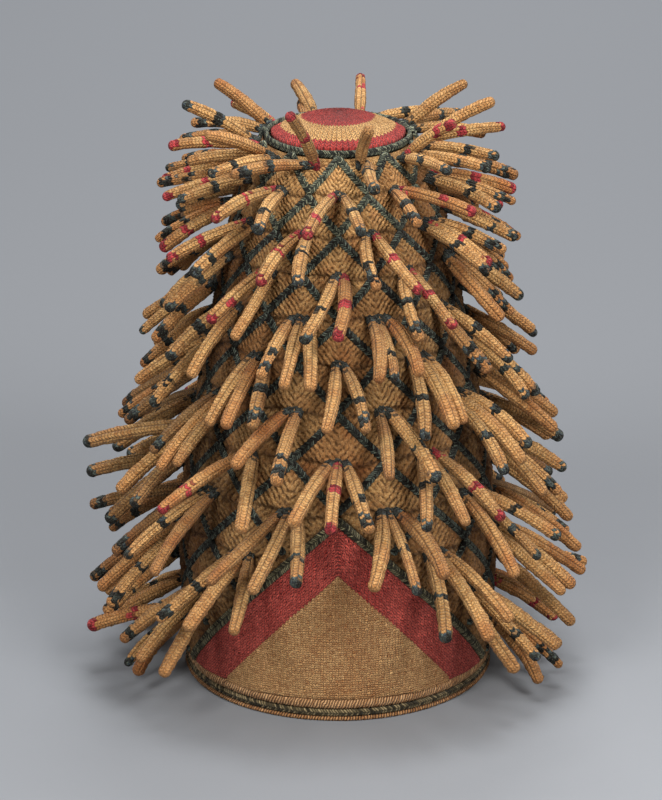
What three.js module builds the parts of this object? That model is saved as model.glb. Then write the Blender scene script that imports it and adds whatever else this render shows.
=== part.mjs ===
// Tall knitted headdress: quilted lozenges, dark border cords and bunches of stuffed fingers.
// Millimetres, +Z up, front at -Y, origin at the middle of the rim on the surface it rests on.
import * as THREE from "three";
import { mergeVertices } from "three/addons/utils/BufferGeometryUtils.js";

// Layout: ten columns round the cap, rows alternate by half a column. The back repeats the front, but for
// the fingers that stand out to the sides.
const COLUMNS = 10;
const COLUMN_PITCH = 360 / COLUMNS;
const HALF_PITCH = COLUMN_PITCH / 2;
const CHART_COLUMNS = COLUMNS / 2;
const WALL_SEGMENTS = 28;
const HEM_SEGMENTS = 32;
const CROWN_SEGMENTS = 24;
const WELD = 1e-4;

// Rows from the crown down. z and r: middle of the lozenges on the knit's face. reach: finger length.
// droop: finger angle below level. sag: further droop at the sides. splay: half angle of the fan. lean: turn
// of each bunch. fingers: the bunches from the left of the front to its right, o for a finger that hangs, u
// for an upright one, a dot where the panel is.
const TIERS = [
  { z: 333, r: 44.0, reach: 49, droop: -1, sag: 0, splay: 14, lean: [-18, -28, -30, 0, 0],
    fingers: "ouo ou uo ouo ouo" },
  { z: 313, r: 53.0, reach: 49, droop: 9, sag: 0, splay: 16, lean: [-4, -6, -7, 3, 4],
    fingers: "ooo oo oo oo ooo" },
  { z: 291, r: 59.5, reach: 48, droop: 19, sag: 6, splay: 11, lean: [-8, -3, 4, 8, 0],
    fingers: "oo oo oo ooo ooo" },
  { z: 268, r: 64.5, reach: 49, droop: 27, sag: 9, splay: 10, lean: [0, -2, -13, -14, 0],
    fingers: "ooo oo oo oo ooo" },
  { z: 243, r: 69.0, reach: 51, droop: 26, sag: 9, splay: 12, lean: [-4, 3, -1, 4, 0],
    fingers: "oo ooo ooo oo ooo" },
  { z: 218, r: 74.0, reach: 53, droop: 28, sag: 9, splay: 12, lean: [0, 9, 7, -10, 0],
    fingers: "oo ooo oo ooo oo" },
  { z: 190, r: 79.0, reach: 56, droop: 27, sag: 9, splay: 13, lean: [0, -9, 3, 0, 0],
    fingers: "ooo oo oo ooo ooo" },
  { z: 161, r: 84.5, reach: 58, droop: 21, sag: 9, splay: 22, lean: [0, 5, -4, -10, 0],
    fingers: "ooo oo ooo ooo ooo" },
  { z: 131, r: 89.5, reach: 60, droop: 22, sag: 9, splay: 20, lean: [0, -7, -5, 0, 0],
    fingers: "ooo ooo ooo ooo oo" },
  { z: 101, r: 92.0, reach: 62, droop: 25, sag: 8, splay: 20, lean: [0, 4, 0, -6, 0],
    fingers: "ooo ooo . ooo ooo" },
  { z: 71, r: 93.0, reach: 60, droop: 29, sag: 5, splay: 20, lean: [0, 0, 0, 0, 0],
    fingers: "ooo . . ooo oo" },
  { z: 41, r: 93.0, reach: 50, droop: 33, sag: 0, splay: 22, lean: [0, 0, 0, 0, 0],
    fingers: "ooo . . . ooo" },
];
// Fingers that stand out to the sides, by row, column and place in the bunch
const SIDE_FINGERS = [
  { row: 7, column: 0, strand: 0 },
  { row: 8, column: 9, strand: 0 },
  { row: 9, column: 9, strand: 2 },
  { row: 10, column: 4, strand: 1 },
  { row: 11, column: 0, strand: 0 },
];
const SIDE_REACH = 152;
const SIDE_DROOP = 10;
const LOWEST_ROW_Z = 11;
const LOWEST_ROW = ". . . . plain";
const PANEL_TIER = 8;

// Hem
const HEM_TOP = 13.9;
const HEM_RADIUS = 92.3;
const HEM_INNER_RADIUS = 87.6;
const HEM_BULGE = 1.4;
const HEM_ROWS = [
  { name: "hem_edge", low: 0, high: 2.6, color: 0xb08a52 },
  { name: "hem_braid", low: 2.95, high: 7.2, color: 0x4a4d3c },
  { name: "hem_roll", low: 7.55, high: HEM_TOP, color: 0xc09a60 },
];

// Wall and crown
const GAP = 0.35;
const WALL_THICK = 2.6;
const WALL_TOP = 330;
// The wall's bands from the rim up, each nearly straight between the heights at which it bends
const WALL_BANDS = [
  { name: "cap_wall_foot", low: HEM_TOP + GAP, bends: [71], high: 101 },
  { name: "cap_wall_lower", low: 101 + GAP, bends: [131], high: 190 },
  { name: "cap_wall_upper", low: 190 + GAP, bends: [], high: 268 },
  { name: "cap_wall_crown", low: 268 + GAP, bends: [313], high: WALL_TOP },
];
const RING_INNER = 39.6;
const RING_OUTER = 43.3;
const RING_TOP = 336.6;
const RING_SHOULDER = 0.6;
const ROUNDEL_RADIUS = 39.2;
const ROUNDEL_EDGE_Z = 337;
const ROUNDEL_RISE = 12;
const ROUNDEL_THICK = 3;
const ROUNDEL_STEPS = 3;

// Lozenge pads and cords
const PUFF = 2.6;
const CORNER_PUFF = 1.3;
const BRIDGE_HALF = 1;
const CROWN_DROP = 0.8;
const CROWN_ROOT_Z = 328.3;
const CROWN_BRIDGE = 2;
const CORD_HALF = 2.4;
const CORD_HEIGHT = 2.8;
const CORD_INSET = BRIDGE_HALF + GAP + CORD_HALF;
const PAD_INSET = CORD_INSET + CORD_HALF + GAP;
const RUN_END = 3.4;
const CORD_END = 5;

// Panels
const PLATE_STEP = 9;
const PLATE_END = 1;
const PLATE_SINK = 0.9;
const PLATE_RAISE = 1;
const CHEVRON_DEPTH = 31;
const PLATE_LEVELS = 2;
const PLATE_TIP = 1.2;
const OUTLINE_DROP = 1;
const LAST_PANEL_STEP = TIERS.length - PANEL_TIER - 1;
const SEARCH_STEP = 0.1;

// Fingers: five-sided, side by side at the root, where each takes a five-sided place in its lozenge
const FINGER_RADIUS = 3.8;
const TIP_RATIO = 0.7;
const ROOT_WIDTH = 6;
const ROOT_LOW = -3;
const ROOT_HIGH = 1.4;
const ROOT_PEAK = 3.6;
const RING_ANGLES = [90, 162, 234, 306, 18];
const LENGTH_SPREAD = 0.09;
const DROOP_SPREAD = 5;
const SPLAY_SPREAD = 5;
// Added length for each degree of sag
const SAG_STRETCH = 0.007;
// The crown's upright fingers, from the left of the front round to the right. lift: angle above level.
// turn: away from the bunch's azimuth. share: part of the row's finger length.
const UPRIGHTS = [
  { lift: 26, turn: -6, share: 1 },
  { lift: 54, turn: -16, share: 0.95 },
  { lift: 54, turn: -4, share: 0.7 },
  { lift: 40, turn: 8, share: 0.82 },
  { lift: 34, turn: -10, share: 1 },
  { lift: 34, turn: -18, share: 1 },
  { lift: 20, turn: 16, share: 0.9 },
  { lift: 14, turn: 0, share: 0.9 },
  { lift: 30, turn: 2, share: 0.95 },
  { lift: 30, turn: -2, share: 0.95 },
];

const CAMEL = 0xbf8f55;
const DARK = 0x303a38;
const RED = 0x9c3d40;
const TAN = 0xad8550;
const CREAM = 0xcda765;

const assembly = new THREE.Group();
const radians = THREE.MathUtils.degToRad;
const lerp = THREE.MathUtils.lerp;

// A point of the cap from its azimuth in degrees, which runs from the front round to +X
function place(azimuth, radius, z) {
  const angle = radians(azimuth);
  return new THREE.Vector3(radius * Math.sin(angle), -radius * Math.cos(angle), z);
}

// Shares from 0 to 1 in so many steps
function evenSteps(count) {
  return Array.from({ length: count + 1 }, (_, step) => step / count);
}

// Height of a row, with the row that the hem cuts as the last
function rowZ(row) {
  return row < TIERS.length ? TIERS[row].z : LOWEST_ROW_Z;
}

// Height of the peaks of the zigzag cord over a row
function cordPeak(row) {
  const clear = row === 1 ? CROWN_DROP + CROWN_BRIDGE : BRIDGE_HALF;
  return rowZ(row - 1) - clear - GAP - CORD_HALF;
}

// Radius of the knit's face at a height
function faceRadius(z) {
  const rows = [...TIERS, { z: HEM_TOP, r: HEM_RADIUS }];
  const below = rows.findIndex((row) => row.z <= z);
  if (below < 0) return HEM_RADIUS;
  const low = rows[Math.max(below, 1)];
  const high = rows[Math.max(below, 1) - 1];
  return lerp(low.r, high.r, (z - low.z) / (high.z - low.z));
}

// Radius of the wall's outer face, clear of the flats between the columns
function wallRadius(z) {
  return faceRadius(z) * Math.cos(radians(HALF_PITCH / 2)) - GAP;
}

// A fixed number from -1 to 1 for one finger and one use of it
function wobble(tier, column, strand, use) {
  const wave = Math.sin(tier * 12.9898 + column * 78.233 + strand * 37.719 + use * 4.581) * 43758.5453;
  return (wave - Math.floor(wave)) * 2 - 1;
}

// A solid through outlines of equal count, closed on itself or capped at both ends
function loft(outlines, closed) {
  const count = outlines[0].length;
  const rings = outlines.length;
  const index = [];
  for (let ring = 0; ring < (closed ? rings : rings - 1); ring += 1) {
    const next = (ring + 1) % rings;
    for (let side = 0; side < count; side += 1) {
      const other = (side + 1) % count;
      const corner = ring * count + side;
      const across = ring * count + other;
      index.push(corner, next * count + other, next * count + side);
      index.push(corner, across, next * count + other);
    }
  }
  if (!closed) {
    const last = (rings - 1) * count;
    for (let side = 1; side < count - 1; side += 1) {
      index.push(0, side + 1, side);
      index.push(last, last + side, last + side + 1);
    }
  }
  const geometry = new THREE.BufferGeometry().setFromPoints(outlines.flat());
  geometry.setIndex(index);
  return geometry;
}

// A turned solid on the cap's axis, from outline points of radius and height
function turned(points, segments) {
  const outline = points.map(([radius, z]) => new THREE.Vector2(radius, z));
  const geometry = new THREE.LatheGeometry(outline, segments).rotateX(Math.PI / 2);
  geometry.deleteAttribute("normal");
  geometry.deleteAttribute("uv");
  return mergeVertices(geometry, WELD);
}

function addNode(name, geometry, color) {
  const shaded = geometry.toNonIndexed();
  shaded.computeVertexNormals();
  const mesh = new THREE.Mesh(shaded, new THREE.MeshStandardMaterial({ color, roughness: 0.9 }));
  mesh.name = name;
  assembly.add(mesh);
}

// Lozenges of a row with the chart's bunch for each, in runs that the panels part
function runsOf(row) {
  const bunches = (row < TIERS.length ? TIERS[row].fingers : LOWEST_ROW).split(" ");
  const first = row % 2 === 0 ? -1.5 * COLUMN_PITCH : -2 * COLUMN_PITCH;
  const columns = Array.from({ length: COLUMNS }, (_, column) => ({
    column,
    azimuth: first + column * COLUMN_PITCH,
    bunch: bunches[column % CHART_COLUMNS],
  }));
  const gapAt = columns.findIndex(({ bunch }) => bunch === ".");
  if (gapAt < 0) return [columns];
  const runs = [[]];
  for (let step = 1; step <= COLUMNS; step += 1) {
    const turn = gapAt + step >= COLUMNS ? 360 : 0;
    const here = columns[(gapAt + step) % COLUMNS];
    if (here.bunch !== ".") runs.at(-1).push({ ...here, azimuth: here.azimuth + turn });
    else if (runs.at(-1).length) runs.push([]);
  }
  return runs.filter((run) => run.length);
}

function sideName(run) {
  const middle = (run[0].azimuth + run.at(-1).azimuth) / 2;
  return Math.sin(radians(middle)) > 0 ? "_right" : "_left";
}

// Outline across a pad: top edge, puffed middle, bottom edge and the back against the wall
function padOutline(azimuth, top, middle, bottom, puff) {
  return [
    place(azimuth, faceRadius(top), top),
    place(azimuth, faceRadius(middle) + puff, middle),
    place(azimuth, faceRadius(bottom), bottom),
    place(azimuth, faceRadius(middle), middle),
  ];
}

// Heading, droop, length and place in the row of each finger of a bunch
function strandsOf(row, { column, azimuth, bunch }) {
  const tier = TIERS[row];
  const key = column % CHART_COLUMNS;
  return Array.from(bunch, (kind, strand) => {
    const shift = strand - bunch.length / 2;
    if (SIDE_FINGERS.some((side) => side.row === row && side.column === column && side.strand === strand)) {
      return sideFinger(tier, azimuth, shift);
    }
    const sag = tier.sag * Math.sin(radians(azimuth)) ** 2;
    const length = tier.reach * (1 + SAG_STRETCH * sag + LENGTH_SPREAD * wobble(row, key, strand, 3));
    if (kind === "u") {
      const { lift, turn, share } = UPRIGHTS[column];
      return { heading: azimuth + turn, droop: -lift, length: length * share, shift };
    }
    const fan = lerp(-tier.splay, tier.splay, bunch.length > 1 ? strand / (bunch.length - 1) : 0.5);
    const turn = tier.lean[key] + fan + SPLAY_SPREAD * wobble(row, key, strand, 1);
    const droop = tier.droop + sag + DROOP_SPREAD * wobble(row, key, strand, 2);
    return { heading: azimuth + turn, droop, length, shift };
  });
}

// A finger that points straight out to its side, as far as the widest of them
function sideFinger(tier, azimuth, shift) {
  const root = place(azimuth, tier.r + PUFF, 0).x + (shift + 0.5) * ROOT_WIDTH * Math.cos(radians(azimuth));
  const level = Math.cos(radians(SIDE_DROOP));
  const length = (SIDE_REACH - Math.abs(root)) / level;
  return { heading: 90 * Math.sign(root), droop: SIDE_DROOP, length, shift };
}

// Chain of quilted lozenges of one run, each with its fingers, as one closed skin
function tierSkin(row, run) {
  const points = [];
  const index = [];
  const point = (vector) => points.push(vector) - 1;
  const face = (...corners) => {
    for (let step = 1; step < corners.length - 1; step += 1) {
      index.push(corners[0], corners[step], corners[step + 1]);
    }
  };
  const crown = row === 0;
  const closed = run.length === COLUMNS;
  const top = crown ? rowZ(0) - CROWN_DROP : cordPeak(row) - CORD_HALF - GAP;
  const bottom = rowZ(row + 1) + PAD_INSET;
  const middle = crown ? CROWN_ROOT_Z : rowZ(row);
  const cornerTop = crown ? top : middle + BRIDGE_HALF;
  const cornerLow = crown ? top - CROWN_BRIDGE : middle - BRIDGE_HALF;
  const cornerAt = (azimuth) =>
    padOutline(azimuth, cornerTop, (cornerTop + cornerLow) / 2, cornerLow, CORNER_PUFF).map(point);

  const corners = run.map((lozenge, order) => {
    const start = order === 0 && !closed ? RUN_END : 0;
    return cornerAt(lozenge.azimuth - HALF_PITCH + start);
  });
  corners.push(closed ? corners[0] : cornerAt(run.at(-1).azimuth + HALF_PITCH - RUN_END));

  run.forEach((lozenge, order) => {
    const [peak, crest, foot, back] = padOutline(lozenge.azimuth, top, middle, bottom, PUFF);
    const [peakAt, footAt, backAt] = [point(peak), point(foot), point(back)];
    const [leftTop, leftMid, leftLow, leftBack] = corners[order];
    const [rightTop, rightMid, rightLow, rightBack] = corners[order + 1];

    const across = place(lozenge.azimuth + 90, 1, 0);
    const up = peak.clone().sub(foot).normalize();
    const palm = (side, rise) => crest.clone().addScaledVector(across, side).addScaledVector(up, rise);
    const strands = strandsOf(row, lozenge);
    const edges = Array.from({ length: strands.length + 1 }, (_, step) => {
      const side = (step - strands.length / 2) * ROOT_WIDTH;
      return { high: point(palm(side, ROOT_HIGH)), low: point(palm(side, ROOT_LOW)) };
    });
    const first = edges[0];
    const last = edges.at(-1);

    face(peakAt, leftTop, first.high);
    face(leftTop, leftMid, first.high);
    face(leftMid, first.low, first.high);
    face(leftMid, leftLow, first.low);
    face(leftLow, footAt, first.low);
    face(peakAt, last.high, rightTop);
    face(rightTop, last.high, rightMid);
    face(rightMid, last.high, last.low);
    face(rightMid, last.low, rightLow);
    face(rightLow, last.low, footAt);
    face(backAt, leftTop, peakAt);
    face(backAt, leftBack, leftTop);
    face(backAt, leftLow, leftBack);
    face(backAt, footAt, leftLow);
    face(backAt, peakAt, rightTop);
    face(backAt, rightTop, rightBack);
    face(backAt, rightBack, rightLow);
    face(backAt, rightLow, footAt);

    strands.forEach(({ heading, droop, length, shift }, strand) => {
      const left = edges[strand];
      const right = edges[strand + 1];
      const ridge = point(palm((shift + 0.5) * ROOT_WIDTH, ROOT_PEAK));
      face(peakAt, left.high, ridge);
      face(peakAt, ridge, right.high);
      face(footAt, right.low, left.low);

      const start = palm((shift + 0.5) * ROOT_WIDTH, 0);
      const ahead = aim(heading, droop);
      const sideways = place(heading + 90, 1, 0);
      const upward = ahead.clone().cross(sideways);
      const middleOfRing = start.clone().addScaledVector(ahead, length - FINGER_RADIUS * TIP_RATIO);
      const ring = RING_ANGLES.map((angle) => {
        const wide = FINGER_RADIUS * Math.cos(radians(angle));
        const tall = FINGER_RADIUS * Math.sin(radians(angle));
        return point(middleOfRing.clone().addScaledVector(sideways, wide).addScaledVector(upward, tall));
      });
      const tip = point(start.addScaledVector(ahead, length));
      const root = [ridge, left.high, left.low, right.low, right.high];
      root.forEach((corner, side) => {
        const next = (side + 1) % root.length;
        face(corner, root[next], ring[next], ring[side]);
        face(ring[side], ring[next], tip);
      });
    });
  });

  if (!closed) {
    const [startTop, startMid, startLow, startBack] = corners[0];
    const [endTop, endMid, endLow, endBack] = corners.at(-1);
    face(startTop, startBack, startLow, startMid);
    face(endTop, endMid, endLow, endBack);
  }
  const geometry = new THREE.BufferGeometry().setFromPoints(points);
  geometry.setIndex(index);
  return geometry;
}

// Outline across a cord that lies on the knit
function cordOutline(azimuth, z) {
  return [
    place(azimuth, faceRadius(z + CORD_HALF), z + CORD_HALF),
    place(azimuth, faceRadius(z) + CORD_HEIGHT, z),
    place(azimuth, faceRadius(z - CORD_HALF), z - CORD_HALF),
  ];
}

// Zigzag cord along the upper border of a run
function borderCord(row, run) {
  const peak = cordPeak(row);
  const valley = rowZ(row) + CORD_INSET;
  const closed = run.length === COLUMNS;
  const low = Math.max(lerp(valley, peak, CORD_END / HALF_PITCH), HEM_TOP + GAP + CORD_HALF);
  const outlines = [];
  run.forEach((lozenge, order) => {
    const first = order === 0 && !closed;
    const start = lozenge.azimuth - HALF_PITCH;
    outlines.push(first ? cordOutline(start + CORD_END, low) : cordOutline(start, valley));
    outlines.push(cordOutline(lozenge.azimuth, peak));
  });
  if (!closed) outlines.push(cordOutline(run.at(-1).azimuth + HALF_PITCH - CORD_END, low));
  return loft(outlines, closed);
}

// Unit direction from an azimuth and an angle below level
function aim(azimuth, droop) {
  const level = Math.cos(radians(droop));
  return place(azimuth, level, -Math.sin(radians(droop)));
}

// Line of a panel's outline cord: down one row for each half column away from the panel's middle
function outlineZ(offset) {
  const steps = Math.abs(offset) / HALF_PITCH;
  const row = Math.min(Math.floor(steps), LAST_PANEL_STEP);
  const high = rowZ(PANEL_TIER + row) - (row === 0 ? CORD_INSET : OUTLINE_DROP);
  return lerp(high, rowZ(PANEL_TIER + row + 1) - OUTLINE_DROP, steps - row);
}

// Offset from a panel's middle at which a line of the outline's form, so much lower, meets a height
function offsetAt(drop, z) {
  let offset = 0;
  while (outlineZ(offset) - drop > z) offset += SEARCH_STEP;
  return offset;
}

// A plate of knit over the wall between two edges given by offset from its panel's middle
function plate(middle, offsets, lowEdge, highEdge) {
  const outlines = offsets.map((offset) => {
    const low = lowEdge(offset);
    const high = highEdge(offset);
    const levels = evenSteps(PLATE_LEVELS).map((share) => lerp(low, high, share));
    const back = levels.map((z) => place(middle + offset, faceRadius(z) - PLATE_SINK, z));
    const face = levels.map((z) => place(middle + offset, faceRadius(z) + PLATE_RAISE, z));
    return [...face.reverse(), ...back];
  });
  return loft(outlines, false);
}

// Offsets either side of a panel's middle in even steps out to an end
function spread(end) {
  const steps = Math.floor((end - PLATE_END) / PLATE_STEP);
  const inner = Array.from({ length: 2 * steps + 1 }, (_, step) => (step - steps) * PLATE_STEP);
  return [-end, ...inner, end];
}

function panel(side, middle) {
  const base = HEM_TOP + GAP;
  const cordEnd = offsetAt(0, base + CORD_HALF);
  const cordStops = [-3, -2, -1, 0, 1, 2, 3].map((step) => step * HALF_PITCH);
  const cordOffsets = [-cordEnd, ...cordStops, cordEnd];
  const cord = cordOffsets.map((offset) => cordOutline(middle + offset, outlineZ(offset)));
  addNode(`${side}_outline`, loft(cord, false), DARK);

  const chevronDrop = CORD_HALF + GAP;
  const fieldDrop = chevronDrop + CHEVRON_DEPTH;
  const chevronTop = (offset) => outlineZ(offset) - chevronDrop;
  const fieldTop = (offset) => outlineZ(offset) - fieldDrop - GAP;
  const chevronLow = (offset) => Math.max(outlineZ(offset) - fieldDrop, base);
  const chevronEnd = offsetAt(chevronDrop, base + PLATE_TIP);
  const fieldEnd = offsetAt(fieldDrop + GAP, base + PLATE_TIP);
  const corner = offsetAt(fieldDrop, base);
  const chevronOffsets = [...spread(chevronEnd), -corner, corner].sort((one, other) => one - other);
  addNode(`${side}_chevron`, plate(middle, chevronOffsets, chevronLow, chevronTop), RED);
  addNode(`${side}_field`, plate(middle, spread(fieldEnd), () => base, fieldTop), TAN);
}

// Half lozenge that the hem cuts, with no fingers
function gusset(run) {
  const base = HEM_TOP + GAP;
  const peak = cordPeak(TIERS.length) - CORD_HALF - GAP;
  const valley = rowZ(TIERS.length) + BRIDGE_HALF;
  const reach = HALF_PITCH * (1 - (base + PLATE_TIP - valley) / (peak - valley)) - RUN_END;
  const outlines = [-reach, 0, reach].map((offset) => {
    const top = offset === 0 ? peak : base + 2 * PLATE_TIP;
    const puff = offset === 0 ? PUFF : CORNER_PUFF;
    return padOutline(run[0].azimuth + offset, top, (top + base) / 2, base, puff);
  });
  return loft(outlines, false);
}

// Wall
for (const { name, low, bends, high } of WALL_BANDS) {
  const levels = [low, ...bends, high];
  const outerFace = levels.map((z) => [wallRadius(z), z]);
  const innerFace = levels.map((z) => [wallRadius(z) - WALL_THICK, z]).reverse();
  addNode(name, turned([...outerFace, ...innerFace, outerFace[0]], WALL_SEGMENTS), TAN);
}

// Hem rows
for (const { name, low, high, color } of HEM_ROWS) {
  const outline = [
    [HEM_INNER_RADIUS, low],
    [HEM_RADIUS, low],
    [HEM_RADIUS + HEM_BULGE, (low + high) / 2],
    [HEM_RADIUS, high],
    [HEM_INNER_RADIUS, high],
    [HEM_INNER_RADIUS, low],
  ];
  addNode(name, turned(outline, HEM_SEGMENTS), color);
}

// Crown
const ringBase = WALL_TOP + GAP;
const ringShoulder = lerp(ringBase, RING_TOP, RING_SHOULDER);
addNode(
  "roundel_ring",
  turned([
    [RING_INNER, ringBase],
    [RING_OUTER, ringBase],
    [RING_OUTER, ringShoulder],
    [(RING_INNER + RING_OUTER) / 2, RING_TOP],
    [RING_INNER, ringShoulder],
    [RING_INNER, ringBase],
  ], CROWN_SEGMENTS),
  DARK,
);
const domeZ = (radius) => ROUNDEL_EDGE_Z + ROUNDEL_RISE * (1 - (radius / ROUNDEL_RADIUS) ** 2);
const domeSteps = evenSteps(ROUNDEL_STEPS).map((share) => share * ROUNDEL_RADIUS);
const domeUnder = domeSteps.map((radius) => [radius, domeZ(radius) - ROUNDEL_THICK]);
const domeFace = domeSteps.map((radius) => [radius, domeZ(radius)]).reverse();
addNode("crown_roundel", turned([...domeUnder, ...domeFace], CROWN_SEGMENTS), CREAM);

// Tiers with their fingers, and the cords between them
TIERS.forEach((tier, row) => {
  const number = String(row).padStart(2, "0");
  for (const run of runsOf(row)) {
    const side = run.length === COLUMNS ? "" : sideName(run);
    addNode(`tier_${number}${side}`, tierSkin(row, run), CAMEL);
    if (row > 0) addNode(`border_cord_${number}${side}`, borderCord(row, run), DARK);
  }
});

// Half lozenges at the hem
for (const run of runsOf(TIERS.length)) {
  addNode(`side_gusset${sideName(run)}`, gusset(run), CAMEL);
  addNode(`border_cord_12${sideName(run)}`, borderCord(TIERS.length, run), DARK);
}

// Panels
panel("front", 0);
panel("back", 180);

export default assembly;
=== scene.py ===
# Looks of the tall knitted headdress: stuffed fingers, quilted lozenges, cords, panels, hem and crown
import math
from collections import namedtuple

import bpy
import numpy as np
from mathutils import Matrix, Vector


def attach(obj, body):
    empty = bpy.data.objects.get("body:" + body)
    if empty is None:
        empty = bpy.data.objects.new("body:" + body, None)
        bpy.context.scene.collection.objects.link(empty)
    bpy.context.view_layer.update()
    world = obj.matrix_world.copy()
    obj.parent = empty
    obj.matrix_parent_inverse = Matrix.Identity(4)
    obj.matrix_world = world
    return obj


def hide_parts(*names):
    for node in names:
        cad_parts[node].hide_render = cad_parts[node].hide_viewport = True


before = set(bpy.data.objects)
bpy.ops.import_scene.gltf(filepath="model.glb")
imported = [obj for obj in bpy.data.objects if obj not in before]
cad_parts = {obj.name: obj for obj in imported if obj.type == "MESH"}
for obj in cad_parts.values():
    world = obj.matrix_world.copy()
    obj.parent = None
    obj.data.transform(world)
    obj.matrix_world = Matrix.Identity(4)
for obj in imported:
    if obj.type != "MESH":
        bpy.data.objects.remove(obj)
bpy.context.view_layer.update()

# Layout in millimetres and degrees, as in the solids. Azimuth runs from the front, -Y, round to +X.
MM = 0.001
COLUMNS = 10
PITCH = 360 / COLUMNS
HALF = PITCH / 2
CHART_COLUMNS = COLUMNS // 2

# Rows from the crown down. Each bunch lists its fingers from left to right: p plain, d dark banded,
# r red banded, s sooty, a capital for an upright finger, and a dot where the panel is. A row of five
# bunches comes again at the back, and a row of ten goes all the way round.
Tier = namedtuple("Tier", "z r reach droop sag splay lean bunches")
TIERS = [
    Tier(333, 44.0, 49, -1, 0, 14, (-18, -28, -30, 0, 0), "pPd dR Pd dRd dPr pPd dR Pd rPd dDr"),
    Tier(313, 53.0, 49, 9, 0, 16, (-4, -6, -7, 3, 4), "drd rd rd dr ddr"),
    Tier(291, 59.5, 48, 19, 6, 11, (-8, -3, 4, 8, 0), "rd rd dr drd ddr"),
    Tier(268, 64.5, 49, 27, 9, 10, (0, -2, -13, -14, 0), "dpd rp dr dr pdd"),
    Tier(243, 69.0, 51, 26, 9, 12, (-4, 3, -1, 4, 0), "dp dpp pdp dd pdd"),
    Tier(218, 74.0, 53, 28, 9, 12, (0, 9, 7, -10, 0), "pd ppd pd dpp dd"),
    Tier(190, 79.0, 56, 27, 9, 13, (0, -9, 3, 0, 0), "spp pd pd dpd ppd spp pd pd dpd sds"),
    Tier(161, 84.5, 58, 21, 9, 22, (0, 5, -4, -10, 0), "sps rp prd dpr pdd sps rp prd dpr sds"),
    Tier(131, 89.5, 60, 22, 9, 20, (0, -7, -5, 0, 0), "sdp ppd pdp pdd pp sdp ppd pdp pdd ss"),
    Tier(101, 92.0, 62, 25, 8, 20, (0, 4, 0, -6, 0), "spd dpp . dpp ppp pds dpp . dpp pds"),
    Tier(71, 93.0, 60, 29, 5, 20, (0, 0, 0, 0, 0), "dpp . . pdp pd"),
    Tier(41, 93.0, 50, 33, 0, 22, (0, 0, 0, 0, 0), "rdp . . . pdp"),
]
# Fingers that stand out to the sides, by row, column and place in the bunch
SIDE_FINGERS = {(7, 0, 0), (8, 9, 0), (9, 9, 2), (10, 4, 1), (11, 0, 0)}
SIDE_REACH = 152
SIDE_DROOP = 10
LOWEST_ROW_Z = 11
LOWEST_ROW = ". . . . plain"
PANEL_TIER = 8
# The crown's upright fingers: angle above level, turn away from the bunch, share of the row's reach
Upright = namedtuple("Upright", "lift turn share")
UPRIGHTS = [
    Upright(26, -6, 1.0),
    Upright(54, -16, 0.95),
    Upright(54, -4, 0.7),
    Upright(40, 8, 0.82),
    Upright(34, -10, 1.0),
    Upright(34, -18, 1.0),
    Upright(20, 16, 0.9),
    Upright(14, 0, 0.9),
    Upright(30, 2, 0.95),
    Upright(30, -2, 0.95),
]
LENGTH_SPREAD = 0.09
DROOP_SPREAD = 5
SPLAY_SPREAD = 5
SAG_STRETCH = 0.007
ROOT_WIDTH = 6
CREST = 2.6
CROWN_ROOT_Z = 328.3
SLOPE_SPAN = 5

# Hem and crown
HEM_TOP = 13.9
HEM_RADIUS = 92.3
HEM_EDGE = (0, 2.6)
HEM_BRAID = (2.95, 7.2)
HEM_ROLL = (7.55, HEM_TOP)
HEM_CORE = 90.4
HEM_DEPTH = 2.7
HEM_SWELL = 0.4
HEM_SWING = 0.12
HEM_WAVES = 7
HEM_FULLNESS = 0.6
HEM_OVERLAP = 0.1
HEM_DIP = 0.3
HEM_STROKE = 2.6
HEM_RELIEF = 0.045
HEM_ROUGH = 0.03
HEM_STITCH = 1.7
HEM_SEAM = 100
BRAID_GROOVE = 0.2
BRAID_WALES = 1.6
ROLL_WALES = 4.8
CROWN_LINE = 332.2
RING_RADIUS = 41.2
RING_Z = 334.2
RING_WIDTH = 4.5
RING_HEIGHT = 2.4
ROUNDEL_RADIUS = 39.2
ROUNDEL_EDGE_Z = 337
ROUNDEL_RISE = 12
ROUNDEL_THICK = 3
ROUNDEL_SAG = 5
ROUNDEL_EYE = 0.6
ROUNDEL_ROUGH = 0.1
ROUNDEL_WALES = 66
ROUNDEL_STITCH = 2.03
WALL_TOP = 330.5
WALL_FOOT = HEM_TOP - 1
WALL_THICK = 2.6
WALL_SINK = 1.9
WALL_STITCH = 2.4

# Fingers
FINGER_RADIUS = 4.3
CROWN_SLIM = 0.15
FINGER_COLUMNS = 16
FINGER_WALES = 6
FINGER_STITCH = 2.0
FINGER_ARCH = 4.5
FINGER_BEND = 4.5
FINGER_SWELL = 0.05
FINGER_TWIST = 0.4
LUMP = 0.045
WALE_RIDGE = 0.02
WIDTH_SPREAD = 0.09
THIN_FINGER = 0.8
UPRIGHT_LIMP = 0.2
TIP_TAPER = 0.14
TIP_DEPTH = 0.8
TIP_TURNS = (24, 46, 64, 80)
TIP_CALM = 0.4
SEAM_DEPTH = 0.17
SEAM_TURN = 2.2
BACK_SEAM = 0.6
ROOT_SPACING = 4.6
ROOT_SINK = 3
ROOT_SLIM = 0.62
ROOT_SHARE = 0.4
BAND_PLACE = 0.58
BAND_SPREAD = 0.1
END_BAND = 1.0
SET_BACK_BAND = 4.2
SET_BACK_SEED = 0.45
SOOTY_FINGER = 0.62
CLEAN_FINGER = 0.1
SOOT_SPREAD = 0.25
KNOT_WIDE = 4.2
KNOT_TALL = 2.8
KNOT_DEEP = 3.4
KNOT_SPAN = 78
KNOT_LUMP = 0.16
KNOT_RAISE = 1.2
KINDS = {"p": 0, "d": 1, "r": 2, "s": 3}

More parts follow.
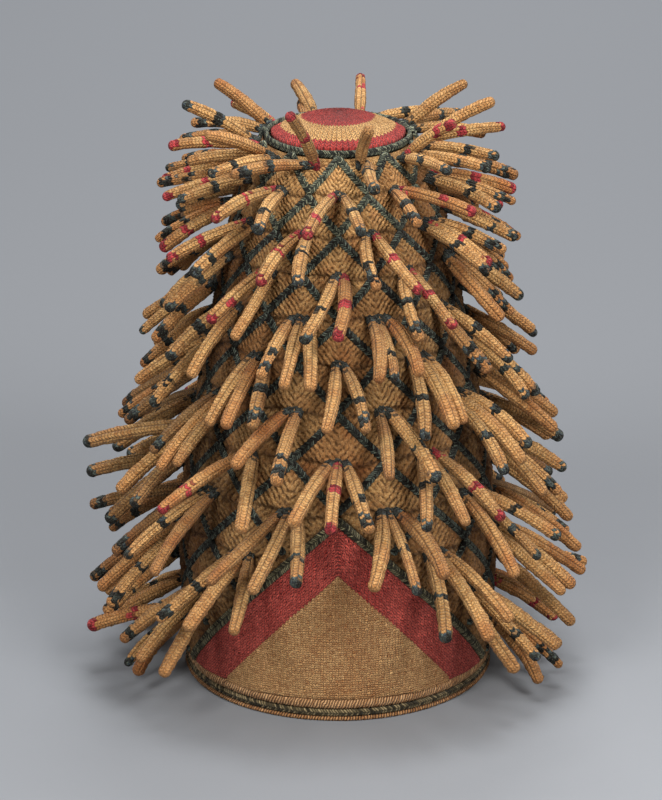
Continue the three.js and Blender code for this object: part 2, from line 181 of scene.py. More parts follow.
# Lozenges, cords and panels
RIBS = 13
RIB_POINTS = 3
RIB_RELIEF = 0.95
RIB_WAVE = 0.85
RIB_KNOBS = 0.3
RIB_ROUGH = 0.16
RIB_WANDER = 0.14
POINT_SHIFT = 0.009
QUILT_PUFF = 3.2
QUILT_SINK = 0.4
DOME_POWER = 0.4
CREASE_DEPTH = 1.9
CREASE_WIDTH = 0.05
CREASE_BOW = 0.07
CREASE_LOW = 0.03
CREASE_SHADE = 0.8
UPPER_STEP = 0.7
RIM_SHADE = 0.9
# Painted shade on the lozenges: more on each lower row up to a limit, and more towards the sides
ROW_PAINTED_SHADE = 0.08
QUILT_PAINTED_SHADE = 0.3
SIDE_PAINTED_SHADE = 0.45
CORD_WIDTH = 4.9
CORD_HEIGHT = 3.2
CORD_STROKE = 1.3
CORD_ROUND = 0.62
CORD_LIFT = 0.3
CORD_ROUGH = 0.03
CORD_END = 2
PLY_BEAT = 0.09
PLY_GROOVE = 0.32
PATH_STEP = 0.5
CROSSING_HALF = 1.7
HEM_CLEAR = 1.5
CROWN_CORD_ROWS = 2
CHEVRON_DROP = 2.75
CHEVRON_DEPTH = 31
CORD_INSET = 3.75
OUTLINE_DROP = 1
PLATE_RAISE = 1.0
PLATE_TUCK = -1.2
PLATE_STEP = 0.7
PLATE_LEAST = 0.4
PLATE_ROUGH = 0.07
STITCH_SQUASH = 0.85
OUTLINE_WIDTH = 5.6
OUTLINE_LIFT = 0.4
OUTLINE_CLEAR = 1.2
OFFSET_STEP = 0.05
SEAM_LAP = 1.2
SEAM_TEETH = 0.9
SEAM_TOOTH_RATE = 4.6
SEAM_STEEP = 0.1
CHEVRON_ROWS = 28
CHEVRON_STITCH = 2.2
FIELD_ROWS = 42
FIELD_STITCH = 1.7
FIELD_STEP = 0.3
PANEL_BASE = 14.1
PANEL_FOOT = 12.8
FOOT_TUCK = -0.9

# Stage, in metres and degrees
FLOOR_HALF = 6
FLOOR_POINTS = 13
Lamp = namedtuple("Lamp", "name spot target size watts colour")
LAMPS = [
    Lamp("left_light", (-1.05, -1.6, 1.85), (-0.2, -0.2, 0.0), 0.9, 36.5, (1.0, 0.98, 0.95)),
    Lamp("right_light", (0.8, -1.25, 1.35), (0.15, -0.2, 0.0), 0.7, 25.5, (1.0, 0.98, 0.95)),
    Lamp("top_light", (0.1, 0.0, 2.5), (0, 0, 0.2), 1.0, 40, (1.0, 1.0, 1.0)),
    Lamp("back_light", (0.2, 2.3, 2.2), (0.2, 1.9, 0), 1.6, 58, (1.0, 1.0, 1.0)),
]
ROOM_COLOUR = (0.64, 0.6, 0.55, 1)
ROOM_STRENGTH = 0.02
CAMERA_LENS = 166.3
CAMERA_SENSOR = 36
CAMERA_SPOT = (-0.0042, -2.069, 0.956)
CAMERA_TILT = 20.85

draw = np.random.default_rng(11)


def place(azimuth, radius, z):
    """Points of the cap from azimuth, radius and height."""
    angle = np.radians(azimuth)
    parts = np.broadcast_arrays(radius * np.sin(angle), -radius * np.cos(angle), z)
    return np.stack(parts, axis=-1).astype(float)


def row_z(row):
    """Height of a row of lozenges: the crown line above the first, the hem's row below the last."""
    if row < 1:
        return CROWN_LINE
    return TIERS[row].z if row < len(TIERS) else LOWEST_ROW_Z


def face_radius(z):
    """Radius of the knit's face at a height."""
    heights = [HEM_TOP] + [tier.z for tier in reversed(TIERS)]
    radii = [HEM_RADIUS] + [tier.r for tier in reversed(TIERS)]
    return np.interp(z, heights, radii)


def unit(vectors):
    return vectors / np.linalg.norm(vectors, axis=-1, keepdims=True)


def outward(azimuth, z):
    """Unit normals of the knit's face."""
    rise = face_radius(np.add(z, SLOPE_SPAN)) - face_radius(np.subtract(z, SLOPE_SPAN))
    slope = rise / (2 * SLOPE_SPAN)
    return unit(place(azimuth, np.ones_like(slope), -slope))


def aim(azimuth, droop):
    """Unit direction from an azimuth and an angle below level."""
    return place(azimuth, math.cos(math.radians(droop)), -math.sin(math.radians(droop)))


def wobble(tier, column, strand, use):
    """A fixed number from -1 to 1 for one finger and one use of it."""
    wave = math.sin(tier * 12.9898 + column * 78.233 + strand * 37.719 + use * 4.581) * 43758.5453
    return (wave - math.floor(wave)) * 2 - 1


def lot(tier, column, strand, use):
    """A fixed number from 0 to 1, as wobble."""
    return 0.5 + 0.5 * wobble(tier, column, strand, use)


def runs_of(row):
    """Lozenges of a row as azimuth, column and bunch, in runs that the panels part."""
    bunches = (TIERS[row].bunches if row < len(TIERS) else LOWEST_ROW).split(" ")
    first = -1.5 * PITCH if row % 2 == 0 else -2 * PITCH
    cells = [(first + PITCH * c, c, bunches[c % len(bunches)]) for c in range(COLUMNS)]
    gaps = [c for c in range(COLUMNS) if cells[c][2] == "."]
    if not gaps:
        return [cells]
    runs = [[]]
    for step in range(1, COLUMNS + 1):
        azimuth, column, bunch = cells[(gaps[0] + step) % COLUMNS]
        if bunch != ".":
            runs[-1].append((azimuth + (360 if gaps[0] + step >= COLUMNS else 0), column, bunch))
        elif runs[-1]:
            runs.append([])
    return [run for run in runs if run]


def side_name(run):
    if len(run) == COLUMNS:
        return ""
    middle = (run[0][0] + run[-1][0]) / 2
    return "_right" if math.sin(math.radians(middle)) > 0 else "_left"


def quads(grid):
    """Four corners of each cell of a grid, counter-clockwise where rows rise and columns go right."""
    return np.stack([grid[:-1, :-1], grid[:-1, 1:], grid[1:, 1:], grid[1:, :-1]], axis=2)


class Skin:
    """Grids of points gathered into one mesh, with a stitch map and marks that the finish reads."""

    def __init__(self, *marks):
        self.points, self.corners, self.stitches = [], [], []
        self.marks = {mark: [] for mark in marks}
        self.count = 0

    def add_points(self, points, marks):
        shape = points.shape[:-1]
        number = self.count + np.arange(np.prod(shape)).reshape(shape)
        self.count += number.size
        self.points.append(points.reshape(-1, 3))
        for mark, values in self.marks.items():
            values.append(np.broadcast_to(marks.get(mark, 0.0), shape).ravel())
        return number

    def add_faces(self, corners, stitches):
        self.corners.append(corners.reshape(-1, 4))
        self.stitches.append(stitches.reshape(-1, 4, 2))

    def grid(self, points, wales, rows, wrap=False, **marks):
        """Adds a sheet of points. wales and rows map its stitches, with one more column if it wraps."""
        number = self.add_points(points, marks)
        if wrap:
            number = np.hstack([number, number[:, :1]])
        map_grid = np.stack(np.broadcast_arrays(wales, rows), axis=-1)
        self.add_faces(quads(number), quads(np.broadcast_to(map_grid, (*number.shape, 2))))
        return number

    def close(self, ring, point, stitch, flip=False, **marks):
        """Shuts a wrapped ring of an even count with a fan of four-sided faces."""
        tip = self.add_points(np.reshape(point, (1, 3)), marks)[0]
        starts = range(0, len(ring) - 1, 2)
        fan = [[ring[c], ring[c + 1], ring[c + 2], tip] for c in starts]
        corners = np.array(fan)
        self.add_faces(corners[:, ::-1] if flip else corners, np.broadcast_to(stitch, (len(fan), 4, 2)))

    def make(self, name, finish, nodes):
        mesh = bpy.data.meshes.new(name)
        points = np.concatenate(self.points) * MM
        corners = np.concatenate(self.corners)
        mesh.vertices.add(len(points))
        mesh.vertices.foreach_set("co", points.astype(np.float32).ravel())
        mesh.loops.add(corners.size)
        mesh.loops.foreach_set("vertex_index", corners.astype(np.int32).ravel())
        mesh.polygons.add(len(corners))
        mesh.polygons.foreach_set("loop_start", np.arange(0, corners.size, 4, dtype=np.int32))
        mesh.update(calc_edges=True)
        stitch_map = mesh.uv_layers.new(name="stitch_map")
        stitch_map.uv.foreach_set("vector", np.concatenate(self.stitches).astype(np.float32).ravel())
        for mark, values in self.marks.items():
            layer = mesh.attributes.new(mark, "FLOAT", "POINT")
            layer.data.foreach_set("value", np.concatenate(values).astype(np.float32))
        mesh.shade_smooth()
        mesh.materials.append(finish)
        piece = bpy.data.objects.new(name, mesh)
        bpy.context.scene.collection.objects.link(piece)
        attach(piece, "root")
        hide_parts(*nodes)
        return piece


class Tone:
    """A shader value or colour, so that a finish is written as plain sums."""

    def __init__(self, finish, socket):
        self.finish, self.socket = finish, socket

    def math(self, operation, *others, clamp=False):
        inputs = dict(enumerate((self, *others)))
        settings = {"operation": operation, "use_clamp": clamp}
        return self.finish.node("ShaderNodeMath", settings, inputs)

    def __add__(self, other):
        return self.math("ADD", other)

    def __sub__(self, other):
        return self.math("SUBTRACT", other)

    def __mul__(self, other):
        return self.math("MULTIPLY", other)

    def __truediv__(self, other):
        return self.math("DIVIDE", other)

    def __pow__(self, other):
        return self.math("POWER", other)

    def __neg__(self):
        return self.math("MULTIPLY", -1.0)

    def __rsub__(self, other):
        return -self + other

    __radd__ = __add__
    __rmul__ = __mul__

    def abs(self):
        return self.math("ABSOLUTE")

    def fract(self):
        return self.math("FRACT")

    def floor(self):
        return self.math("FLOOR")

    def max(self, other):
        return self.math("MAXIMUM", other)

    def clamp(self):
        return self.math("ADD", 0.0, clamp=True)

    def ramp(self, low, high):
        """0 below low, 1 above high and smooth between."""
        inputs = {"Value": self, "From Min": low, "From Max": high}
        return self.finish.node("ShaderNodeMapRange", {"interpolation_type": "SMOOTHSTEP"}, inputs)

    def near(self, centre, half, soft):
        """1 within half of a centre, falling to 0 over the soft edge."""
        return ((half - (self - centre).abs()) / soft + 0.5).clamp()


class Finish:
    """A procedural material under construction."""

    def __init__(self, name):
        self.material = bpy.data.materials.new(name)
        self.material.use_nodes = True
        self.tree = self.material.node_tree
        self.shader = self.tree.nodes["Principled BSDF"]
        self.place = self.node("ShaderNodeTexCoord", output="Object")

    def node(self, kind, settings=None, inputs=None, output=0):
        """Any shader node: its settings first, then its sockets by name or number."""
        made = self.tree.nodes.new(kind)
        for name, value in (settings or {}).items():
            setattr(made, name, value)
        for key, value in (inputs or {}).items():
            self.feed(made.inputs[key], value)
        return Tone(self, made.outputs[output])

    def feed(self, socket, value):
        if isinstance(value, Tone):
            self.tree.links.new(value.socket, socket)
        else:
            socket.default_value = value

    def mark(self, name):
        return self.node("ShaderNodeAttribute", {"attribute_name": name}, output="Fac")

    def stitches(self):
        """Across and along on the stitch map."""
        return self.spread(self.node("ShaderNodeUVMap", {"uv_map": "stitch_map"}))

    def spread(self, spot):
        """The first two parts of a place."""
        first = self.node("ShaderNodeSeparateXYZ", inputs={0: spot})
        return first, Tone(self, first.socket.node.outputs[1])

    def noise(self, scale, detail=2.0, rough=0.5):
        inputs = {"Vector": self.place, "Scale": scale, "Detail": detail, "Roughness": rough}
        return self.node("ShaderNodeTexNoise", inputs=inputs)

    def unevenness(self, scale, amount):
        """A small shift either way, so that rows of stitches are not drawn with a ruler."""
        return (self.noise(scale, 2) - 0.5) * amount

    def chance(self, across, along):
        """A random number for each cell of the stitch map."""
        cell = self.node("ShaderNodeCombineXYZ", inputs={0: across.floor(), 1: along.floor()})
        return self.node("ShaderNodeTexWhiteNoise", {"noise_dimensions": "2D"}, {"Vector": cell})

    def mix(self, share, one, other):
        """Colour from one to another."""
        return self.node("ShaderNodeMix", {"data_type": "RGBA"}, {0: share, 6: one, 7: other}, output=2)

    def finish(self, colour, relief, depth, rough=0.9, sheen=0.08):
        """Wires up colour and relief, whose depth is in metres."""
        self.feed(self.shader.inputs["Base Color"], colour)
        self.feed(self.shader.inputs["Roughness"], rough)
        self.shader.inputs["Sheen Weight"].default_value = sheen
        self.shader.inputs["Sheen Roughness"].default_value = 0.55
        self.shader.inputs["Specular IOR Level"].default_value = 0.12
        bump = self.node("ShaderNodeBump", inputs={"Height": relief, "Distance": depth, "Strength": 1.0})
        self.feed(self.shader.inputs["Normal"], bump)
        return self.material


def dye(red, green, blue):
    """A display colour, 0 to 255, as the linear colour that shaders take."""
    parts = [part / 255 for part in (red, green, blue)]
    return (*[p / 12.92 if p < 0.04045 else ((p + 0.055) / 1.055) ** 2.4 for p in parts], 1.0)


CAMEL_LIGHT = dye(247, 201, 136)
CAMEL = dye(210, 154, 88)
CAMEL_DEEP = dye(136, 80, 34)
RUST = dye(186, 116, 64)
SOOT = dye(78, 55, 34)
# Dark brown of the painted shade on crowded lozenges
QUILT_SHADE_COLOUR = dye(80, 48, 20)
# Dark brown of painted shade in stitch holes, seams and grooves
HOLE_SHADE = dye(47, 24, 6)
INK = dye(22, 17, 12)
TEAL = dye(45, 47, 41)
NAVY = dye(62, 80, 104)
MOSS = dye(126, 138, 122)
RED = dye(194, 70, 72)
RED_DEEP = dye(128, 34, 40)


def knit_relief(across, along, slant=0.5):
    """Height of plain knitting, 0 to 1: columns of V stitches, one unit of the map to a stitch."""
    off_centre = (across.fract() - 0.5).abs() * 2
    leg = ((along + off_centre * slant).fract() - 0.5).abs() * 2
    return (1 - leg ** 3) * (1 - off_centre ** 6) * (0.45 + 0.55 * off_centre.ramp(0.0, 0.5))


def camel_yarn(finish, seed):
    """Mottled camel yarn that drifts from piece to piece."""
    grain = finish.noise(950, 3)
    drift = finish.noise(60, 2)
    plain = finish.mix(grain.ramp(0.3, 0.7), CAMEL, CAMEL_LIGHT)
    rusty = drift.ramp(0.45, 0.75) * 0.55 + seed.ramp(0.4, 1.0) * 0.45
    deeper = finish.mix(rusty.clamp(), plain, RUST)
    return finish.mix(grain.ramp(0.62, 0.8) * 0.35, deeper, CAMEL_DEEP)


def dark_yarn(finish, pick):
    """Dark blue-green yarn with paler strands where the pick is high."""
    strand = finish.noise(1300, 2)
    body = finish.mix(pick.ramp(0.1, 0.6), INK, TEAL)
    pale = finish.mix(strand.ramp(0.45, 0.55), NAVY, MOSS)
    paler = pick.ramp(0.45, 1.0) * 0.5 + strand.ramp(0.5, 0.75) * 0.4
    return finish.mix(paler.clamp(), body, pale)


def finger_finish():
    """Camel fingers with ragged dark or red bands, a stitch or two wide."""
    finish = Finish("banded_finger_knit")
    kind, seed, end = finish.mark("kind"), finish.mark("seed"), finish.mark("end")
    across, rows = finish.stitches()
    relief = knit_relief(across, rows)
    leaning = rows + (across.fract() - 0.5).abs()
    pick = finish.chance(across, leaning)
    row = leaning.floor() + (pick - 0.5) * 2.2
    red_kind = kind.near(2.0, 0.4, 0.1)
    banded = (kind.near(1.0, 0.4, 0.1) + red_kind).clamp()
    tipped = (banded + kind.near(3.0, 0.4, 0.1)).clamp()
    middle = row.near(finish.mark("band"), 1.0, 0.2)
    tip = row.near(finish.mark("tip_band"), 1.65, 0.2)
    root = row.near(0.0, 4.0, 0.2)
    bands = (middle * banded).max(tip * tipped).max(root)
    # Painted shade: each finger darkens towards its root, where the bunch crowds together.
    near_root = (1 - row / end).ramp(0.45, 1.0)
    near_end = (row / end).ramp(0.55, 1.0)
    root_in_painted_shade = finish.mix(near_root * 0.45, camel_yarn(finish, seed), CAMEL_DEEP)
    yarn = finish.mix(near_end * 0.45, root_in_painted_shade, RUST)
    uneven = finish.mix(pick.ramp(0.4, 1.0) * 0.35, yarn, CAMEL_DEEP)
    # On the fingers this mark is soot; on the lozenges the same mark carries painted shade.
    darkening = finish.mark("soot") * (0.55 + 0.5 * finish.noise(180, 2))
    darkened = finish.mix(darkening.clamp(), uneven, SOOT)
    red_yarn = finish.mix(pick.ramp(0.2, 0.9), RED, RED_DEEP)
    band_yarn = finish.mix(red_kind, dark_yarn(finish, pick), red_yarn)
    coloured = finish.mix(bands, darkened, band_yarn)
    # Painted shade: the hollows between stitches and the seam's groove darken towards dark brown.
    shaded = finish.mix((1 - relief).ramp(0.5, 1.0) * 0.36, coloured, HOLE_SHADE)
    seam = finish.mark("seam")
    colour = finish.mix(seam.ramp(0.4, 1.0) * 0.25, shaded, HOLE_SHADE)
    fuzz = finish.noise(1000, 3, 0.6)
    return finish.finish(colour, relief + fuzz * 1.2 - seam * 0.5, 0.0011)


def quilt_finish():
    """Camel lozenges with painted shade: darker in the grooves between the ribs, in the crease and along
    the cords, and darker on the lower rows and at the sides, where the fingers crowd over them.
    """
    finish = Finish("ribbed_quilt_knit")
    groove, seed = finish.mark("groove"), finish.mark("seed")
    strand = finish.noise(1300, 3, 0.6)
    loop = finish.noise(420, 2)
    yarn = finish.mix(loop.ramp(0.35, 0.7) * 0.4, camel_yarn(finish, seed), CAMEL_DEEP)
    # Painted shade: the mark darkens the lozenges on the lower rows and at the sides, where the fingers
    # crowd over them.
    darkening = finish.mark("soot") * (0.6 + 0.8 * loop)
    darkened = finish.mix(darkening.clamp(), yarn, QUILT_SHADE_COLOUR)
    # Painted shade: the groove mark darkens the rib grooves, the crease and the edges by the cords
    # towards dark brown.
    depth = groove + (strand - 0.5) * 0.9 + (loop - 0.5) * 0.5
    colour = finish.mix(depth.ramp(0.1, 1.0) * 0.7, darkened, HOLE_SHADE)
    return finish.finish(colour, strand * 1.2 + loop - groove * 0.4, 0.0012)


def cord_finish(name, dark, mid, pale):
    """Chain cord of fine slanting strokes, each of its own shade."""
    finish = Finish(name)
    across, along = finish.stitches()
    ply = (across - 0.4).abs() / 0.4
    leaning = along + ply * 1.3 + finish.unevenness(600, 0.9)
    pick = finish.chance(across * 2.5, leaning)
    stroke = 1 - (leaning.fract() - 0.5).abs() * 2
    strand = finish.noise(1500, 2)
    body = finish.mix(pick.ramp(0.0, 0.5), dark, mid)
    # Pale strands are the yarn's own flecks; keeping them to the crest of each stroke is a painted
    # highlight.
    pale_fleck_and_highlight = pick.ramp(0.2, 0.9) * stroke.ramp(0.2, 0.7) * (0.5 + strand * 0.6)
    flecked_and_highlit = finish.mix(pale_fleck_and_highlight.clamp(), body, pale)
    # Painted shade in the groove between the two plies.
    colour = finish.mix((1 - ply).ramp(0.7, 1.0) * 0.7, flecked_and_highlit, dark)
    return finish.finish(colour, stroke.ramp(0.0, 0.8) + strand * 0.5, 0.0009)


def panel_finish(name, light, deep, hole_shade, seam=0.0):
    """Fine plain knitting, one map unit to a stitch. A seam is a column of open V stitches."""
    finish = Finish(name)
    wale, row = finish.stitches()
    across = wale + finish.unevenness(330, 1.6)
    along = row + finish.unevenness(290, 1.6)
    relief = knit_relief(across, along)
    grain = finish.noise(500, 3)
    drift = finish.noise(35, 2)
    pick = finish.chance(across, along + (across.fract() - 0.5).abs())
    # The raised stitch legs are painted lighter, a painted highlight; pick and grain are the yarn's own
    # tone.
    tone = relief.ramp(0.1, 0.9) * 0.5 + pick * 0.4 + grain.ramp(0.35, 0.65) * 0.3 - 0.1
    body = finish.mix(tone.clamp(), deep, light)
    worn = finish.mix(drift.ramp(0.4, 0.7) * 0.3, body, deep)
    open_v = (row * 0.8 - wale.abs() * 0.6).fract().near(0.5, 0.14, 0.25)
    eyelet = wale.near(0.0, 0.8, 0.4) * open_v * seam
    # Painted shade in the gaps between stitches and in the seam's open V stitches.
    opening = (1 - relief).ramp(0.5, 1.0) * 0.9
    colour = finish.mix(opening.max(eyelet), worn, hole_shade)
    return finish.finish(colour, relief + grain * 0.8 - eyelet, 0.0012)


def rope_finish(name, light, deep, hole_shade, slant):
    """Rolled row of slanting stitches, each of its own shade."""
    finish = Finish(name)
    across, along = finish.stitches()
    leaning = along - across * slant + finish.unevenness(300, 1.0)
    pick = finish.chance(across, leaning)
    stroke = 1 - (leaning.fract() - 0.5).abs() * 2
    grain = finish.noise(900, 3)
    body = finish.mix((pick * 0.6 + grain.ramp(0.35, 0.65) * 0.4).clamp(), deep, light)
    # Painted shade between the slanting stitches.
    colour = finish.mix((1 - stroke).ramp(0.3, 1.0) * 0.9, body, hole_shade)
    return finish.finish(colour, stroke.ramp(0.0, 0.8) + grain * 0.6, 0.0012)


def roundel_finish():
    """Red centre, cream ring and red rim in rounds of V stitches, which give their edges teeth."""
    finish = Finish("red_and_cream_roundel_knit")
    across, along = finish.stitches()
    slant = 0.8
    relief = knit_relief(across, along, slant)
    leaning = along + (across.fract() - 0.5).abs() * 2 * slant
    pick = finish.chance(across, leaning)
    grain = finish.noise(800, 3)
    tone = (pick * 0.4 + grain.ramp(0.35, 0.65) * 0.6).clamp()
    cream_rounds = leaning.floor().near(13.5, 3.0, 0.2)
    red = finish.mix(tone, dye(140, 44, 44), dye(200, 76, 68))
    cream = finish.mix(tone, dye(186, 134, 78), dye(232, 186, 124))
    body = finish.mix(cream_rounds, red, cream)
    # Painted shade in the hollows between stitches.
    colour = finish.mix((1 - relief).ramp(0.5, 1.0) * 0.6, body, HOLE_SHADE)
    return finish.finish(colour, relief + grain * 0.5, 0.0013)


def bent_path(start, middle, end, share):
    """Points and unit directions along a path that leaves start towards middle."""
    share = share[:, None]
    path = (1 - share) ** 2 * start + 2 * share * (1 - share) * middle + share ** 2 * end
    slope = (1 - share) * (middle - start) + share * (end - middle)
    return path, unit(slope)


def finger(skin, root, tip, radius, kind, seed, soot, bend):
    """One stuffed finger: a lumpy knitted tube with a sewn seam along it, shut by a blunt tip."""
    columns = FINGER_COLUMNS
    length = float(np.linalg.norm(tip - root))
    straight = (tip - root) / length
    sideways = unit(np.cross(straight, (0, 0, 1)))
    arch = np.cross(sideways, straight) * FINGER_ARCH
    rings = round(length / FINGER_STITCH)
    shares = np.linspace(0, 1, rings)
    start = root - straight * ROOT_SINK
    end = tip - straight * radius * TIP_DEPTH
    path, ahead = bent_path(start, (start + end) / 2 + sideways * bend + arch, end, shares)
    turns = np.radians(TIP_TURNS)
    blunt = path[-1] + radius * TIP_DEPTH * np.sin(turns)[:, None] * ahead[-1]
    centre = np.concatenate([path, blunt])
    ahead = np.concatenate([ahead, np.repeat(ahead[-1:], len(turns), axis=0)])
    side = unit(np.cross(ahead, (0, 0, 1)))
    under = np.cross(ahead, side)
    slim_root = ROOT_SLIM + (1 - ROOT_SLIM) * np.clip(shares / ROOT_SHARE, 0, 1) ** 0.7
    uneven = 1 + FINGER_SWELL * np.sin(shares * 8 + seed * 20)
    swell = slim_root * uneven * (1 - TIP_TAPER * shares ** 4)
    width = radius * np.concatenate([swell, swell[-1] * np.cos(turns)])

    column = np.arange(columns)
    ring = np.arange(len(centre))[:, None]
    seam = np.select([column == 0, column == columns // 2], [1.0, BACK_SEAM], 0.0)
    calm = np.where(ring < rings, 1.0, TIP_CALM)
    around = 2 * math.pi * column / columns
    lumps = draw.normal(0, LUMP, (len(centre), columns)) + WALE_RIDGE * np.cos(3 * around)
    relief = 1 + calm * (lumps - SEAM_DEPTH * seam)
    angle = around - math.pi / 2 + SEAM_TURN * (seed - 0.5) + FINGER_TWIST * ring / len(ring)
    spoke = np.cos(angle)[..., None] * side[:, None] + np.sin(angle)[..., None] * under[:, None]
    points = centre[:, None] + (width[:, None] * relief)[..., None] * spoke

    steps = np.linalg.norm(np.diff(centre, axis=0), axis=1)
    rows = np.concatenate([[0], np.cumsum(steps)])[:, None] / FINGER_STITCH
    end_row = rows[-1, 0]
    band = round(end_row * (BAND_PLACE + BAND_SPREAD * math.sin(seed * 40)))
    set_back = seed > SET_BACK_SEED and kind != KINDS["r"]
    tip_band = end_row - (SET_BACK_BAND if set_back else END_BAND)
    marks = {"kind": kind, "seed": seed, "soot": soot}
    marks |= {"band": band, "tip_band": tip_band, "end": end_row}
    wales = np.arange(columns + 1) * FINGER_WALES / columns
    number = skin.grid(points, wales, rows, wrap=True, seam=seam * calm, **marks)
    skin.close(number[-1], tip, (0.2, end_row), **marks)
    skin.close(number[0], centre[0], (0.2, 0.0), flip=True, **marks)


def knot(skin, middle, azimuth, z, seed):
    """Lumpy knot of dark yarn over the roots of a bunch."""
    columns, rings = 10, 7
    level = np.radians(np.linspace(-KNOT_SPAN, KNOT_SPAN, rings))[:, None]
    turn = 2 * math.pi * np.arange(columns) / columns
    lumps = 1 + KNOT_LUMP * np.sin(turn * 3 + seed * 9) * np.cos(level * 2)
    out = outward(azimuth, z)
    right = place(azimuth + 90, 1.0, 0.0)
    up = np.cross(out, right)
    across = (KNOT_WIDE * lumps * np.cos(level) * np.cos(turn))[..., None] * right
    rise = (KNOT_TALL * lumps * np.cos(level) * np.sin(turn))[..., None] * up
    depth = np.broadcast_to((KNOT_DEEP * np.sin(level))[..., None], (rings, columns, 1)) * out
    points = middle + across + rise + depth
    no_tip = 20.0
    marks = {"kind": KINDS["d"], "seed": seed, "soot": 0.0}
    marks |= {"band": 0.5, "tip_band": no_tip, "end": no_tip}
    wales = np.arange(columns + 1) * 0.5
    rows = np.arange(rings)[:, None] * 0.7
    number = skin.grid(points, wales, rows, wrap=True, **marks)
    skin.close(number[-1], middle + out * KNOT_DEEP, (0.2, 0.5), **marks)
    skin.close(number[0], middle - out * KNOT_DEEP, (0.2, 0.5), flip=True, **marks)


def finger_tip(row, azimuth, column, strand, bunch, root):
    """End of one finger, as in the solids."""
    tier = TIERS[row]
    key = column % CHART_COLUMNS
    if (row, column, strand) in SIDE_FINGERS:
        length = (SIDE_REACH - abs(root[0])) / math.cos(math.radians(SIDE_DROOP))
        return root + aim(math.copysign(90, root[0]), SIDE_DROOP) * length
    share = strand / (len(bunch) - 1) if len(bunch) > 1 else 0.5
    fan = tier.splay * (2 * share - 1) + SPLAY_SPREAD * wobble(row, key, strand, 1)
    sag = tier.sag * math.sin(math.radians(azimuth)) ** 2
    droop = tier.droop + sag + DROOP_SPREAD * wobble(row, key, strand, 2)
    length = tier.reach * (1 + SAG_STRETCH * sag + LENGTH_SPREAD * wobble(row, key, strand, 3))
    if bunch[strand].isupper():
        upright = UPRIGHTS[column]
        return root + aim(azimuth + upright.turn, -upright.lift) * length * upright.share
    return root + aim(azimuth + tier.lean[key] + fan, droop) * length


def bunch_of_fingers(skin, row, azimuth, column, bunch):
    """The fingers of one lozenge, spread from its knot."""
    root_z = CROWN_ROOT_Z if row == 0 else TIERS[row].z
    crest = place(azimuth, face_radius(root_z) + CREST, root_z)
    across = place(azimuth + 90, 1.0, 0.0)
    slim = 1 - CROWN_SLIM * max(0, 1 - row / PANEL_TIER)
    for strand, letter in enumerate(bunch):
        shift = strand - (len(bunch) - 1) / 2
        tip = finger_tip(row, azimuth, column, strand, bunch, crest + across * shift * ROOT_WIDTH)
        thin = THIN_FINGER if len(bunch) == 3 and strand == 1 and letter == "d" else 1.0
        own_width = 1 + WIDTH_SPREAD * wobble(row, column, strand, 5)
        soot = SOOTY_FINGER if letter == "s" else CLEAN_FINGER
        limp = UPRIGHT_LIMP if letter.isupper() else 1.0
        sway = wobble(row, column, 0, 7) + 0.5 * wobble(row, column, strand, 7)
        finger(
            skin,
            crest + across * shift * ROOT_SPACING,
            tip,
            FINGER_RADIUS * slim * thin * own_width,
            KINDS[letter.lower()],
            lot(row, column, strand, 4),
            soot + SOOT_SPREAD * wobble(row, column, strand, 6),
            FINGER_BEND * limp * sway,
        )
    knot(skin, crest + (0, 0, KNOT_RAISE), azimuth, root_z, lot(row, column, 0, 8))


def lozenge(skin, azimuth, top, middle, low, seed, soot):
    """A puffed lozenge, creased across its middle, with knobbly ribs square to the nearest cord."""
    share = np.linspace(0, 1, RIBS * RIB_POINTS + 1)
    right, left = np.meshgrid(share, share)
    loose = np.zeros(right.shape)
    loose[1:-1, 1:-1] = POINT_SHIFT
    right = right + loose * draw.uniform(-1, 1, right.shape)
    left = left + loose * draw.uniform(-1, 1, right.shape)
    z = low * (1 - right) * (1 - left) + middle * (right + left - 2 * right * left) + top * right * left
    across = azimuth + HALF * (right - left)
    near_right = np.minimum(right, 1 - right)
    near_left = np.minimum(left, 1 - left)
    beside = near_right < near_left
    over = np.where(beside, left, right) * RIBS
    along = np.where(beside, near_right, near_left) * RIBS
    over = over + RIB_WANDER * np.sin(along * 1.7 + seed * 9)
    knobs = np.cos(2 * math.pi * (along * 0.6 + 0.5 * np.floor(over) + over * 0.5))
    rough = draw.normal(0, RIB_ROUGH, right.shape)
    rib = -np.cos(2 * math.pi * over) * RIB_WAVE + knobs * RIB_KNOBS + rough
    edge = np.minimum(near_right, near_left)
    dome = (16 * right * (1 - right) * left * (1 - left)) ** DOME_POWER
    off_middle = right + left - 1
    bow = CREASE_BOW * np.sin(3 * (right - left) + seed * 12) - CREASE_LOW
    aside = np.clip(np.abs(right - left) * 6 - 0.6, 0, 1)
    crease = np.exp(-(((off_middle - bow) / CREASE_WIDTH) ** 2)) * aside
    step = np.clip(off_middle * 14, -0.4, 1) * np.clip(1 - np.abs(off_middle) * 1.6, 0, 1)
    fade = np.clip(edge * 12, 0, 1)
    raised = QUILT_PUFF * dome + (RIB_RELIEF * rib - CREASE_DEPTH * crease + UPPER_STEP * step) * fade
    no_upper_half = top == middle
    if no_upper_half:
        raised = raised * np.clip(-off_middle * 7, 0, 1)
    points = place(across, face_radius(z) - QUILT_SINK, z) + outward(across, z) * raised[..., None]
    # Painted shade for the finish: darker in the rib grooves, along the crease and near the cords.
    grooves = np.clip(0.1 - rib, 0, 1.2) * np.clip(edge * 14, 0.4, 1)
    hollow = RIM_SHADE * np.clip(1 - edge * 9, 0, 1)
    shade = np.maximum(np.maximum(grooves, CREASE_SHADE * crease), hollow)
    skin.grid(points, right * RIBS, left * RIBS, groove=shade, seed=seed, soot=soot)


